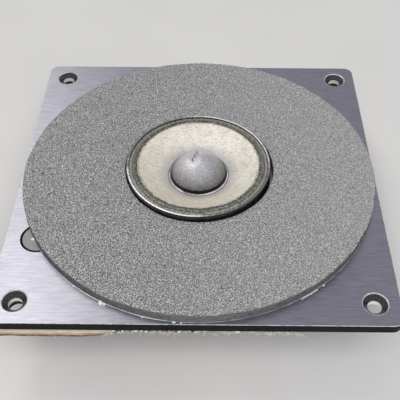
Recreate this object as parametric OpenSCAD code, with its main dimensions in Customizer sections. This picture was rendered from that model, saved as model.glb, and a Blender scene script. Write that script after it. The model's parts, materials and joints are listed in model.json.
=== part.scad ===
// Square-plate cone tweeter, lying face up on its magnet.
// Millimetres, +Z up along the drive axis, origin at the centre of the back plate's underside.

/* [Faceplate] */
// Side of the square faceplate
plate_w = 108; // [104:0.5:120]
// Thickness of the faceplate
plate_t = 3; // [2.6:0.1:4]
// Corner radius of the faceplate
plate_corner_r = 3; // [1:0.5:8]
// Distance between mounting holes along a side
hole_pitch = 94.3; // [90:0.1:96]
// Diameter of the straight part of a mounting hole
screw_hole_d = 3.8; // [3.2:0.1:4.4]
// Diameter of the countersink at the front
countersink_d = 6.9; // [6:0.1:8]

/* [Badge] */
// Diameter of the blank round badge
badge_d = 9.3; // [6:0.1:9.5]
// Thickness of the badge, set flush in the plate
badge_t = 0.6; // [0.4:0.1:1]
// Gap round the badge in its pocket
badge_gap = 0.4; // [0.1:0.05:0.45]
// Distance of the badge left of the plate's centre
badge_left = 44.5; // [42:0.1:45]
// Distance of the badge in front of the plate's centre
badge_front = 25.9; // [0:0.1:30]

/* [Foam ring] */
// Outer diameter of the foam disc
foam_d = 105.9; // [100:0.1:107]
// Thickness of the foam
foam_t = 3; // [2:0.1:3.2]
// Diameter of the hole in the foam
foam_hole_d = 44.6; // [44.6:0.1:48]
// Thickness of the adhesive film under the foam
adhesive_t = 0.1; // [0.05:0.05:0.2]

/* [Gasket] */
// Thickness of the fibre gasket behind the plate
gasket_t = 2; // [1:0.1:3]
// Width of the gasket's band
gasket_band = 9; // [8:0.5:12]
// Distance from the plate's edge to the gasket
gasket_inset = 0.2; // [0.1:0.1:1.5]
// Thickness left where the front of the gasket has torn
gasket_torn_t = 0.9; // [0.4:0.1:1]

/* [Basket] */
// Outer diameter of the basket's wall
basket_d = 43.2; // [43:0.1:43.6]
// Thickness of the basket's sheet steel
sheet_t = 0.8; // [0.6:0.1:0.9]
// Height of the basket's lip above the faceplate
lip_height = 3.95; // [3.9:0.05:4.3]
// Inner diameter of the basket's lip
lip_inner_d = 41; // [40.6:0.1:41.2]
// Depth of the basket's ledge below the faceplate's front
ledge_depth = 4.8; // [4.5:0.1:5.2]
// Outer diameter of the basket's lower step
step_d = 29.6; // [28:0.2:31]
// Diameter of the hole in the basket's floor
floor_hole_d = 21; // [20:0.5:22]

/* [Diaphragm] */
// Outer diameter of the cone
cone_d = 37.8; // [37:0.1:38]
// Diameter where the visible cone meets the surround
cone_visible_d = 36.4; // [36:0.1:36.6]
// Height of the cone's edge above the faceplate
cone_edge_height = 4.45; // [4.3:0.05:4.6]
// Depth of the cone's neck below the faceplate's front
neck_depth = 0.25; // [0.1:0.05:0.6]
// Thickness of the cone's paper
cone_t = 0.5; // [0.4:0.05:0.6]
// Diameter of the dust cap
cap_d = 17.2; // [17:0.1:17.6]
// Height of the dust cap above the neck
cap_height = 6.45; // [5:0.05:7]
// Thickness of the dust cap
cap_t = 0.3; // [0.2:0.05:0.4]
// Thickness of the surround's cloth
cloth_t = 0.2; // [0.15:0.05:0.2]
// Thickness of the spider
spider_t = 0.3; // [0.2:0.05:0.3]

/* [Motor] */
// Diameter of the ferrite magnet
magnet_d = 60; // [56:1:66]
// Thickness of the magnet
magnet_t = 9; // [8:0.5:12]
// Diameter of the steel plates either side of the magnet
motor_plate_d = 56; // [54:1:58]
// Thickness of the top plate
top_plate_t = 4; // [3:0.5:4]
// Thickness of the back plate
back_plate_t = 5; // [4:0.5:6]
// Diameter of the pole piece
pole_d = 15.5; // [15.4:0.05:15.5]
// Diameter of the bore round the gap
gap_bore_d = 18; // [18:0.1:18.4]
// Length of the winding
winding_length = 4.4; // [3:0.1:4.6]

/* [Hidden] */
$fn = 96;

// Cuts run past a face by this much, so no thin skin is left
over = 0.5;

// Heights, from the back plate's underside
magnet_z = back_plate_t;
top_plate_z = magnet_z + magnet_t;
motor_top_z = top_plate_z + top_plate_t;
step_height = 9;
front_z = motor_top_z + step_height;
plate_z = front_z - plate_t;
gasket_z = plate_z - gasket_t;
ledge_z = front_z - ledge_depth;
lip_z = front_z + lip_height;
cone_edge_z = front_z + cone_edge_height;
neck_z = front_z - neck_depth;
foam_z = front_z + adhesive_t;

// Basket and mounting ring
basket_r = basket_d / 2;
plate_opening_r = basket_r + 0.3;
mounting_ring_r = 32;
mounting_ring_t = 1.2;
mounting_ring_z = plate_z - mounting_ring_t;
frame_screw_circle_r = 27;
frame_screw_r = 1.45;
frame_screw_bite = 2.2;
frame_screw_head_r = 2.75;
frame_screw_head_t = 1.9;
rivet_circle_r = 12.4;
rivet_shank_r = 0.75;
rivet_head_r = 1.5;
rivet_head_t = 0.6;
rivet_bite = 2.5;

// Foam disc: it was cut by hand, so the disc and its hole aren't quite centred
foam_centre = [0.35, -0.45];
foam_hole_centre = [0.3, 0.2];

// Retaining ring on the basket's lip
ring_outer_r = basket_r + 0.2;
ring_inner_r = 20.9;
ring_top_t = 0.5;
ring_skirt_drop = 0.85;

// Moving parts
coil_inner_r = 8.05;
former_t = 0.25;
former_r = coil_inner_r + former_t;
winding_t = 0.36;
winding_z = motor_top_z - top_plate_t / 2 - winding_length / 2;
former_z = winding_z - 0.1;
cap_r = cap_d / 2;
cap_skirt = 0.35;
cap_dome_h = cap_height - cap_skirt;
cap_sphere_r = (cap_r * cap_r + cap_dome_h * cap_dome_h) / (2 * cap_dome_h);
land_r = 9.2;
bead_r = 0.42;
cone_r = cone_d / 2;
cone_visible_r = cone_visible_d / 2;
neck_drop = 1.1;
surround_flange_r = 21.5;
spider_flange_r = 18;
spider_waves_r = 13.9;
spider_collar_r = 8.9;

// Motor details
pole_spigot_r = 5;
magnet_inner_r = 12;
magnet_chamfer = 0.6;

// Leads and terminals
tag_x = 6.5;
tag_w = 4.8;
tag_t = 0.5;
tag_inner_y = 20.6;
tag_outer_y = 42;
tag_rivet_y = 32;
solder_y = 22.6;
solder_r = 1.1;
board_w = 26;
board_y = [16, 36];
board_t = 1.2;
board_rivet_at = [10.8, 20.5];
lead_r = 0.35;
lead_angle = 12;
lead_hole_r = 19.3;
anchor_size = 1.4;
anchor_z = neck_z - 1.7;
// Route of the positive lead: across to the side, along the radius, and height above the neck
lead_route = [
    [0, 9.8, -1.75], [0, 11, -1.45], [0, 12.4, -1.2], [0, 14, -1.1], [0, 15.6, -1.3],
    [0, 17, -1.85], [0, 18.2, -2.5], [0, 19, -3.3], [0, 19.3, -4.1], [0, 19.3, -5],
    [0, 19.3, -5.75], [0.35, 19.5, -6.25], [1.2, 20.2, -6.55], [2.1, 21.3, -6.68], [2.45, 22, -6.7]
];

// Angles of four evenly spaced fasteners
function quarter_turns(first) = [for (i = [0:3]) first + 90 * i];

// Height of the cone's front at a radius, from its neck out to its edge
function cone_height(r) =
    let (share = (r - land_r) / (cone_visible_r - land_r))
    neck_z + (cone_edge_z - neck_z) * pow(max(share, 0), 1.08);

// Height of the surround's underside between the cone's lip and the basket's lip
function surround_height(r) =
    let (share = (r - cone_r) / (lip_inner_d / 2 - cone_r))
    cone_edge_z + (lip_z - cone_edge_z) * share + 0.4 * sin(180 * share);

// Height of the spider's underside between its collar and its flange
function spider_height(r) =
    let (share = (r - spider_collar_r) / (spider_waves_r - spider_collar_r))
    ledge_z + 0.4 * sin(360 * 2.5 * share) * sin(180 * share);

// One sheet-thin section, as thick as t, whose underside runs through points
function sheet_section(points, t) = concat(
    points,
    [for (i = [len(points) - 1:-1:0]) points[i] + [0, t]]
);

// Unit vector along v
function unit(v) = v / norm(v);

// Direction of travel along a route at point i
function heading(route, i) =
    unit(route[min(i + 1, len(route) - 1)] - route[max(i - 1, 0)]);

// Ring of points round a route at point i
function route_ring(route, i, r, sides) =
    let (
        along = heading(route, i),
        side = unit(cross(along, [1, 0, 0])),
        up = cross(side, along)
    )
    [for (k = [0:sides - 1]) route[i] + r * (cos(360 * k / sides) * side + sin(360 * k / sides) * up)];

module at_four(radius, first_angle) {
    for (angle = quarter_turns(first_angle)) {
        rotate([0, 0, angle]) translate([radius, 0, 0]) children();
    }
}

module at_corners(half_pitch) {
    for (x = [-half_pitch, half_pitch], y = [-half_pitch, half_pitch]) {
        translate([x, y, 0]) children();
    }
}

module ring(outer_r, inner_r, height, z) {
    translate([0, 0, z]) difference() {
        cylinder(h = height, r = outer_r);
        translate([0, 0, -over]) cylinder(h = height + 2 * over, r = inner_r);
    }
}

// Square plate with round corners, built from cylinders and boxes so its corners stay true curves
module rounded_plate(width, height, corner_r) {
    straight = width - 2 * corner_r;
    translate([-width / 2, -straight / 2, 0]) cube([width, straight, height]);
    translate([-straight / 2, -width / 2, 0]) cube([straight, width, height]);
    at_corners(straight / 2) cylinder(h = height, r = corner_r);
}

// Rivet with its head on top of height 0 and its shank going down
module rivet(head_r, head_t, shank_r, shank_length) {
    cylinder(h = head_t * 0.6, r = head_r);
    translate([0, 0, head_t * 0.6]) cylinder(h = head_t * 0.4, r1 = head_r, r2 = head_r * 0.7);
    translate([0, 0, -shank_length]) cylinder(h = shank_length, r = shank_r);
}

// Tube of a small radius along a route
module tube(route, r) {
    sides = 8;
    last = len(route) - 1;
    points = [for (i = [0:last]) each route_ring(route, i, r, sides)];
    walls = [
        for (i = [0:last - 1], k = [0:sides - 1])
            let (a = i * sides + k, b = i * sides + (k + 1) % sides)
            each [[a, b, b + sides], [a, b + sides, a + sides]]
    ];
    first_cap = [for (k = [sides - 1:-1:0]) k];
    last_cap = [for (k = [0:sides - 1]) last * sides + k];
    polyhedron(points = points, faces = concat([first_cap], walls, [last_cap]));
}

module faceplate() {
    half_pitch = hole_pitch / 2;
    countersink_h = (countersink_d - screw_hole_d) / 2;
    color([0.47, 0.47, 0.5]) difference() {
        translate([0, 0, plate_z]) rounded_plate(plate_w, plate_t, plate_corner_r);
        translate([0, 0, plate_z - over]) cylinder(h = plate_t + 2 * over, r = plate_opening_r);
        at_corners(half_pitch) {
            translate([0, 0, plate_z - over]) cylinder(h = plate_t + 2 * over, d = screw_hole_d);
            translate([0, 0, front_z - countersink_h])
                cylinder(h = countersink_h, d1 = screw_hole_d, d2 = countersink_d);
            translate([0, 0, front_z]) cylinder(h = over, d = countersink_d);
        }
        translate([-badge_left, -badge_front, front_z - badge_t])
            cylinder(h = badge_t + over, r = badge_d / 2 + badge_gap);
        at_four(frame_screw_circle_r, 45)
            translate([0, 0, plate_z - over]) cylinder(h = frame_screw_bite + over, r = frame_screw_r + 0.05);
    }
}

module badge() {
    color([0.62, 0.62, 0.65])
        translate([-badge_left, -badge_front, front_z - badge_t]) cylinder(h = badge_t, d = badge_d);
}

// Layer with the foam's outline, used for the foam and for its adhesive
module foam_layer(height, z) {
    translate([0, 0, z]) difference() {
        translate(foam_centre) cylinder(h = height, d = foam_d);
        translate([foam_hole_centre.x, foam_hole_centre.y, -over])
            cylinder(h = height + 2 * over, d = foam_hole_d);
    }
}

module foam_adhesive() {
    color([0.8, 0.8, 0.76]) foam_layer(adhesive_t, front_z);
}

module foam_ring() {
    color([0.58, 0.58, 0.59]) foam_layer(foam_t, foam_z);
}

// Square band behind the plate's edge; its front has split and its right front corner is gone
module mounting_gasket() {
    outer = plate_w - 2 * gasket_inset;
    inner = outer - 2 * gasket_band;
    torn_from_x = -22;
    torn_to_x = 27;
    front_y = -plate_w / 2;
    missing_corner = [
        [torn_to_x, front_y], [29, -50.5], [26.5, -48], [30, -46], [29, inner / -2 + 1],
        [33, inner / -2 + over], [inner / 2 - over, inner / -2 + over], [inner / 2 - over, -31],
        [47, -29.5], [49.5, -31], [51, -28.5], [plate_w / 2, -30], [plate_w / 2, front_y]
    ];
    color([0.68, 0.56, 0.42]) difference() {
        translate([0, 0, gasket_z]) rounded_plate(outer, gasket_t, plate_corner_r);
        translate([-inner / 2, -inner / 2, gasket_z - over]) cube([inner, inner, gasket_t + 2 * over]);
        translate([0, 0, gasket_z - over])
            at_corners(hole_pitch / 2) cylinder(h = gasket_t + 2 * over, d = screw_hole_d + 1);
        translate([torn_from_x, front_y, gasket_z - over])
            cube([torn_to_x - torn_from_x + 4, gasket_band + gasket_inset + over, gasket_t - gasket_torn_t + over]);
        translate([0, 0, gasket_z - over]) linear_extrude(gasket_t + 2 * over) polygon(missing_corner);
    }
}

module mounting_ring() {
    color([0.2, 0.2, 0.21]) difference() {
        ring(mounting_ring_r, basket_r + 0.02, mounting_ring_t, mounting_ring_z);
        at_four(frame_screw_circle_r, 45)
            translate([0, 0, mounting_ring_z - over])
                cylinder(h = mounting_ring_t + 2 * over, r = frame_screw_r + 0.15);
    }
}

// Pan-head screws from behind, each with a cross-shaped recess
module frame_screws() {
    slot_w = 0.8;
    slot_length = 3;
    slot_depth = 1.1;
    color([0.75, 0.72, 0.6]) at_four(frame_screw_circle_r, 45) {
        translate([0, 0, mounting_ring_z])
            cylinder(h = mounting_ring_t + frame_screw_bite - 0.2, r = frame_screw_r);
        translate([0, 0, mounting_ring_z - frame_screw_head_t]) difference() {
            union() {
                translate([0, 0, 0.6]) cylinder(h = frame_screw_head_t - 0.6, r = frame_screw_head_r);
                cylinder(h = 0.6, r1 = frame_screw_head_r - 0.6, r2 = frame_screw_head_r);
            }
            for (turn = [0, 90]) {
                rotate([0, 0, turn]) translate([-slot_length / 2, -slot_w / 2, -over])
                    cube([slot_length, slot_w, slot_depth + over]);
            }
        }
    }
}

module basket() {
    step_r = step_d / 2;
    lip_r = lip_inner_d / 2;
    hole_r = floor_hole_d / 2;
    section = [
        [basket_r, lip_z], [lip_r, lip_z], [lip_r, lip_z - sheet_t],
        [basket_r - sheet_t, lip_z - sheet_t], [basket_r - sheet_t, ledge_z],
        [step_r - sheet_t, ledge_z], [step_r - sheet_t, motor_top_z + sheet_t],
        [hole_r, motor_top_z + sheet_t], [hole_r, motor_top_z],
        [step_r, motor_top_z], [step_r, ledge_z - sheet_t], [basket_r, ledge_z - sheet_t]
    ];
    color([0.13, 0.13, 0.14]) difference() {
        rotate_extrude() polygon(section);
        at_four(rivet_circle_r, 45) translate([0, 0, motor_top_z - over])
            cylinder(h = sheet_t + 2 * over, r = rivet_shank_r + 0.05);
        for (side = [-1, 1]) {
            rotate([0, 0, side * lead_angle]) translate([0, lead_hole_r, ledge_z - sheet_t - over])
                cylinder(h = sheet_t + 2 * over, r = 1);
        }
    }
}

module basket_rivets() {
    color([0.7, 0.7, 0.7]) at_four(rivet_circle_r, 45)
        translate([0, 0, motor_top_z + sheet_t])
            rivet(rivet_head_r, rivet_head_t, rivet_shank_r, sheet_t + rivet_bite);
}

// Black ring pressed over the lip, which holds the surround's edge down
module front_ring() {
    top_z = lip_z + cloth_t + ring_top_t;
    skirt_z = lip_z - ring_skirt_drop;
    round_r = 0.25;
    section = [
        [basket_r + 0.02, skirt_z], [ring_outer_r, skirt_z], [ring_outer_r, top_z - round_r],
        [ring_outer_r - 0.08, top_z - 0.08], [ring_outer_r - round_r, top_z],
        [ring_inner_r + round_r, top_z], [ring_inner_r + 0.08, top_z - 0.08],
        [ring_inner_r, top_z - round_r], [ring_inner_r, lip_z + cloth_t], [basket_r + 0.02, lip_z + cloth_t]
    ];
    color([0.07, 0.07, 0.07]) rotate_extrude() polygon(section);
}

// Doped cloth: a flat flange on the cone, a low roll, and a flat flange on the basket's lip
module surround() {
    lip_r = lip_inner_d / 2;
    steps = 12;
    roll = [for (i = [0:steps]) let (r = cone_r + (lip_r - cone_r) * i / steps) [r, surround_height(r)]];
    underside = concat([[cone_visible_r, cone_edge_z]], roll, [[surround_flange_r, lip_z]]);
    color([0.45, 0.44, 0.38]) rotate_extrude() polygon(sheet_section(underside, cloth_t));
}

module spider() {
    steps = 30;
    waves = [
        for (i = [0:steps])
            let (r = spider_collar_r + (spider_waves_r - spider_collar_r) * i / steps) [r, spider_height(r)]
    ];
    underside = concat([[former_r, ledge_z]], waves, [[spider_flange_r, ledge_z]]);
    color([0.75, 0.6, 0.3]) rotate_extrude() polygon(sheet_section(underside, spider_t));
}

// Paper cone: a neck glued on the former, a flat land for the cap, the flare and a flat lip
module cone() {
    steps = 8;
    flare = [
        for (i = [0:steps])
            let (r = land_r + (cone_visible_r - land_r) * i / steps) [r, cone_height(r) - cone_t]
    ];
    front = [for (i = [len(flare) - 1:-1:0]) flare[i] + [0, cone_t]];
    neck_r = former_r + cone_t;
    section = concat(
        [[former_r, neck_z - cone_t - neck_drop], [neck_r, neck_z - cone_t - neck_drop], [neck_r, neck_z - cone_t]],
        flare,
        [[cone_r, cone_edge_z - cone_t], [cone_r, cone_edge_z]],
        front,
        [[former_r, neck_z]]
    );
    color([0.85, 0.82, 0.73]) rotate_extrude() polygon(section);
}

module dust_cap() {
    sphere_z = neck_z + cap_height - cap_sphere_r;
    color([0.5, 0.49, 0.54]) union() {
        ring(cap_r, cap_r - cap_t, cap_skirt + 0.05, neck_z);
        difference() {
            translate([0, 0, sphere_z]) sphere(r = cap_sphere_r);
            translate([0, 0, sphere_z]) sphere(r = cap_sphere_r - cap_t);
            translate([0, 0, neck_z + cap_skirt - 2 * cap_sphere_r])
                cylinder(h = 2 * cap_sphere_r, r = 2 * cap_sphere_r);
        }
    }
}

// Bead of clear adhesive in the corner between the cap and the cone's land
module cap_adhesive() {
    steps = 6;
    outer = [for (i = [0:steps]) [cap_r, neck_z] + bead_r * [cos(90 * i / steps), sin(90 * i / steps)]];
    color([0.9, 0.88, 0.82]) rotate_extrude() polygon(concat([[cap_r, neck_z]], outer));
}

module coil_former() {
    color([0.8, 0.7, 0.5]) ring(former_r, coil_inner_r, neck_z - former_z, former_z);
}

module voice_coil() {
    color([0.72, 0.42, 0.22]) ring(former_r + winding_t, former_r, winding_length, winding_z);
}

// Blocks of cement that hold the leads' inner ends under the cone
module lead_anchors() {
    color([0.25, 0.22, 0.2]) for (side = [-1, 1]) {
        rotate([0, 0, side * lead_angle])
            translate([-anchor_size / 2, former_r + cone_t + 0.02, anchor_z - 0.6])
                cube([anchor_size, 9.8 - former_r - cone_t - 0.04, 1.15]);
    }
}

module top_plate() {
    color([0.66, 0.66, 0.64]) difference() {
        ring(motor_plate_d / 2, gap_bore_d / 2, top_plate_t, top_plate_z);
        at_four(rivet_circle_r, 45) translate([0, 0, motor_top_z - rivet_bite])
            cylinder(h = rivet_bite + over, r = rivet_shank_r + 0.05);
        for (side = [-1, 1]) {
            translate([side * board_rivet_at.x, board_rivet_at.y, motor_top_z - rivet_bite])
                cylinder(h = rivet_bite + over, r = rivet_shank_r + 0.05);
        }
    }
}

// Ferrite ring with ground faces and chipped-back edges
module magnet() {
    chamfer = magnet_chamfer;
    outer_r = magnet_d / 2;
    inner_r = magnet_inner_r;
    section = [
        [inner_r + chamfer, magnet_z], [outer_r - chamfer, magnet_z], [outer_r, magnet_z + chamfer],
        [outer_r, top_plate_z - chamfer], [outer_r - chamfer, top_plate_z],
        [inner_r + chamfer, top_plate_z], [inner_r, top_plate_z - chamfer], [inner_r, magnet_z + chamfer]
    ];
    color([0.2, 0.2, 0.21]) rotate_extrude() polygon(section);
}

module back_plate() {
    color([0.66, 0.66, 0.64]) ring(motor_plate_d / 2, pole_spigot_r + 0.02, back_plate_t, 0);
}

module pole_piece() {
    color([0.7, 0.7, 0.68]) {
        cylinder(h = back_plate_t, r = pole_spigot_r);
        translate([0, 0, magnet_z]) cylinder(h = motor_top_z - magnet_z, d = pole_d);
    }
}

module pole_felt() {
    color([0.35, 0.35, 0.36]) translate([0, 0, motor_top_z]) cylinder(h = 1.5, r = 6.6);
}

module terminal_board() {
    color([0.42, 0.24, 0.12]) difference() {
        translate([-board_w / 2, board_y[0], motor_top_z]) cube([board_w, board_y[1] - board_y[0], board_t]);
        for (side = [-1, 1]) {
            translate([side * board_rivet_at.x, board_rivet_at.y, motor_top_z - over])
                cylinder(h = board_t + 2 * over, r = rivet_shank_r + 0.05);
            translate([side * tag_x, tag_rivet_y, motor_top_z - over])
                cylinder(h = board_t + 2 * over, r = rivet_shank_r + 0.05);
        }
    }
}

module board_rivets() {
    color([0.75, 0.72, 0.6]) for (side = [-1, 1]) {
        translate([side * board_rivet_at.x, board_rivet_at.y, motor_top_z + board_t])
            rivet(rivet_head_r, rivet_head_t, rivet_shank_r, board_t + rivet_bite - 0.1);
    }
}

// Flat solder tag with a rivet hole, a lead hole at its inner end and a wire hole at its tip
module terminal_tag(side) {
    chamfer = 1.2;
    half_w = tag_w / 2;
    outline = [
        [-half_w, tag_inner_y], [half_w, tag_inner_y], [half_w, tag_outer_y - chamfer],
        [half_w - chamfer, tag_outer_y], [chamfer - half_w, tag_outer_y], [-half_w, tag_outer_y - chamfer]
    ];
    translate([side * tag_x, 0, motor_top_z + board_t]) difference() {
        linear_extrude(tag_t) polygon(outline);
        translate([0, tag_rivet_y, -over]) cylinder(h = tag_t + 2 * over, r = rivet_shank_r + 0.05);
        translate([0, tag_outer_y - 2.8, -over]) cylinder(h = tag_t + 2 * over, r = 0.9);
    }
}

module terminal_tag_positive() {
    color([0.8, 0.66, 0.36]) terminal_tag(1);
}

module terminal_tag_negative() {
    color([0.8, 0.66, 0.36]) terminal_tag(-1);
}

// Rivets through tag and board, rolled over underneath
module tag_rivets() {
    color([0.75, 0.72, 0.6]) for (side = [-1, 1]) {
        translate([side * tag_x, tag_rivet_y, motor_top_z + board_t + tag_t]) {
            rivet(rivet_head_r, rivet_head_t, rivet_shank_r, board_t + tag_t + 0.5);
            translate([0, 0, -board_t - tag_t - 0.5]) cylinder(h = 0.5, r = 1.3);
        }
    }
}

module solder_joints() {
    base_z = motor_top_z + board_t + tag_t;
    color([0.75, 0.75, 0.77]) for (side = [-1, 1]) {
        translate([side * tag_x, solder_y, base_z]) difference() {
            sphere(r = solder_r);
            translate([0, 0, -2 * solder_r]) cylinder(h = 2 * solder_r, r = 2 * solder_r);
        }
    }
}

// Varnished sleeves that line the lead holes in the ledge
module lead_sleeves() {
    color([0.55, 0.45, 0.2]) for (side = [-1, 1]) {
        rotate([0, 0, side * lead_angle]) translate([0, lead_hole_r, 0])
            ring(0.96, 0.45, sheet_t + 0.8, ledge_z - sheet_t - 0.4);
    }
}

// A lead's route in the part's frame; side is 1 for the positive lead on the right
function lead_points(side) = [
    for (p = lead_route)
        let (a = lead_angle, out = p[1], across = p[0])
        [
            side * (out * sin(a) + across * cos(a)),
            out * cos(a) - across * sin(a),
            neck_z + p[2]
        ]
];

module tinsel_lead_positive() {
    color([0.72, 0.45, 0.3]) tube(lead_points(1), lead_r);
}

module tinsel_lead_negative() {
    color([0.72, 0.45, 0.3]) tube(lead_points(-1), lead_r);
}

faceplate();
badge();
foam_adhesive();
foam_ring();
mounting_gasket();
mounting_ring();
frame_screws();
basket();
basket_rivets();
front_ring();
surround();
spider();
cone();
dust_cap();
cap_adhesive();
coil_former();
voice_coil();
lead_anchors();
top_plate();
magnet();
back_plate();
pole_piece();
pole_felt();
terminal_board();
board_rivets();
terminal_tag_positive();
terminal_tag_negative();
tag_rivets();
solder_joints();
lead_sleeves();
tinsel_lead_positive();
tinsel_lead_negative();
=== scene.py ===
"""Looks of a square-plate cone tweeter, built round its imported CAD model."""
import json
import math
import random

import bmesh
import bpy
import numpy as np
from mathutils import Matrix, Vector, noise


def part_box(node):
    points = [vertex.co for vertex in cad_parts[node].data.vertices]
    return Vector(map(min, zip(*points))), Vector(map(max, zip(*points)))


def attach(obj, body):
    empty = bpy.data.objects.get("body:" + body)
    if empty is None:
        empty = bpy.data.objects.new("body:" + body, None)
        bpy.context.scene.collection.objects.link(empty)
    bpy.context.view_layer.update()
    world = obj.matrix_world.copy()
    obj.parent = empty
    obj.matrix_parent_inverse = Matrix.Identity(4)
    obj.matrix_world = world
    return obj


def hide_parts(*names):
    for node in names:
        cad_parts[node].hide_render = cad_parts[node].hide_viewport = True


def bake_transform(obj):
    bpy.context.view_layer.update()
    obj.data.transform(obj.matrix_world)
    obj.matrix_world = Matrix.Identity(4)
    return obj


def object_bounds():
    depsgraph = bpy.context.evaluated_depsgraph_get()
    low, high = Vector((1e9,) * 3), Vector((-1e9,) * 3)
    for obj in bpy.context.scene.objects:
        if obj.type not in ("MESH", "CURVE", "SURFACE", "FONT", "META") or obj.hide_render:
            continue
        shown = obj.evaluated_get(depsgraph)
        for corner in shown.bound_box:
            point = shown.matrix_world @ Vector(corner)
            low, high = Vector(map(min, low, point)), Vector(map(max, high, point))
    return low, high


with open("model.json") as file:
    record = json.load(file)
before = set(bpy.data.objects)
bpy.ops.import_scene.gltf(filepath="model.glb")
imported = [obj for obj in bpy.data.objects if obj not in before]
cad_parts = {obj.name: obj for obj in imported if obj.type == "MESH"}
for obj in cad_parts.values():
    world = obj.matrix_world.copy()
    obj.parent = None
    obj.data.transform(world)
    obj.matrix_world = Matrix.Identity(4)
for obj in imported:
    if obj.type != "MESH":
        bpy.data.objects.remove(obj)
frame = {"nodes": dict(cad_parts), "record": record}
cad_low, cad_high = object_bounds()

MM = 0.001
TURN = 2 * math.pi


# ---------------------------------------------------------------- places from the frame, in mm

def box_mm(node):
    low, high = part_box(node)
    return low / MM, high / MM


def disc_mm(node):
    """Middle and radius of a round node, as seen from the front."""
    low, high = box_mm(node)
    return ((low + high) / 2).xy, (high.x - low.x) / 2


def outer_radius(node):
    return disc_mm(node)[1]


PLATE_LOW, PLATE_HIGH = box_mm("faceplate")
PLATE_HALF = PLATE_HIGH.x
PLATE_BACK = PLATE_LOW.z
PLATE_FRONT = PLATE_HIGH.z
SCREW_MOUNT = next(m for m in frame["record"]["mounts"] if m["name"] == "screw_holes")
HOLE_AT = SCREW_MOUNT["dims"]["spacing_x_mm"] / 2
HOLE_R = SCREW_MOUNT["dims"]["hole_r_mm"]
HOLES = [(x, y) for x in (-HOLE_AT, HOLE_AT) for y in (-HOLE_AT, HOLE_AT)]

NECK_Z = box_mm("cap_adhesive")[0].z
CAP_R = outer_radius("dust_cap")
CAP_TOP = box_mm("dust_cap")[1].z
CONE_R = outer_radius("cone")
CONE_EDGE_Z = box_mm("cone")[1].z
RING_R = outer_radius("front_ring")
RING_LOW, RING_TOP = box_mm("front_ring")[0].z, box_mm("front_ring")[1].z
BASKET_R = outer_radius("basket")
LIP_Z = box_mm("basket")[1].z
LEDGE_Z = box_mm("spider")[0].z + 0.4
FORMER_R = outer_radius("coil_former")

# Sizes that a node's box doesn't give, the same as in the CAD model, in mm
PLATE_CORNER_R = 3
COUNTERSINK_R = 3.45
OPENING_R = 21.9
FOAM_HOLE_R = 22.3
FOAM_HOLE_CENTRE = Vector((0.3, 0.2))
LAND_R = 9.2
CONE_VISIBLE_R = 18.2
CONE_THICK = 0.5
LIP_INNER_R = 20.5
SURROUND_R = 21.5
CLOTH_THICK = 0.2
SPIDER_THICK = 0.3
GASKET_BAND = 9
GASKET_PROUD = 0.75

# Wear, in mm: the plate's rubbed edge, also painted white as a highlight, the eased edge of each cut, and the
# torn front of the gasket
PLATE_EDGE = 0.16
LIP = 0.1
# Outside this radius the countersink's rim is worn, and painted white as a highlight as well
WORN_HIGHLIT_R = COUNTERSINK_R - 0.18
FOAM_CORNER = 0.32
TORN_FROM, TORN_TO = -22, 29
TORN_SKIN = 0.9


# ---------------------------------------------------------------- materials

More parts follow.
